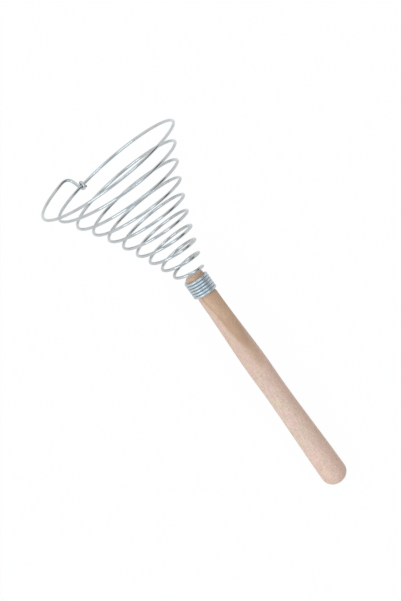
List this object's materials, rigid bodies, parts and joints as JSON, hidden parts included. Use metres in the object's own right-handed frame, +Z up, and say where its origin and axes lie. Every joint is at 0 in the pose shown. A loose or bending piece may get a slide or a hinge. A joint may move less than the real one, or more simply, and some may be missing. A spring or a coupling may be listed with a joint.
{
  "type": "spiral whisk",
  "caption": "Spiral whisk: slim turned wooden handle, its neck wound with steel wire that opens into a springy cone of turns and is tied off at the mouth.",
  "frame": {"origin": "on the table under the middle of the lying whisk's box", "axes": "+X from the butt of the handle towards the mouth of the coil, +Z up from the table that the whisk lies on"},
  "size_m": [0.272, 0.1092, 0.1047],
  "materials": {
    "beech": "bare turned beech, finely sanded, with short dark flecks along the grain",
    "wire": "bright tinned spring steel wire"
  },
  "bodies": {
    "handle": {"handle": "beech"},
    "spiral": {"spiral_wire": "wire"}
  },
  "joints": [
    {"name": "spiral_press", "type": "slide", "parent": "handle", "child": "spiral", "axis": [0.9866, 0, 0.163], "range_m": [-0.03, 0], "stiffness_N_per_m": 49.9, "springref_m": 0.002, "deforming": ["spiral_wire"]}
  ]
}
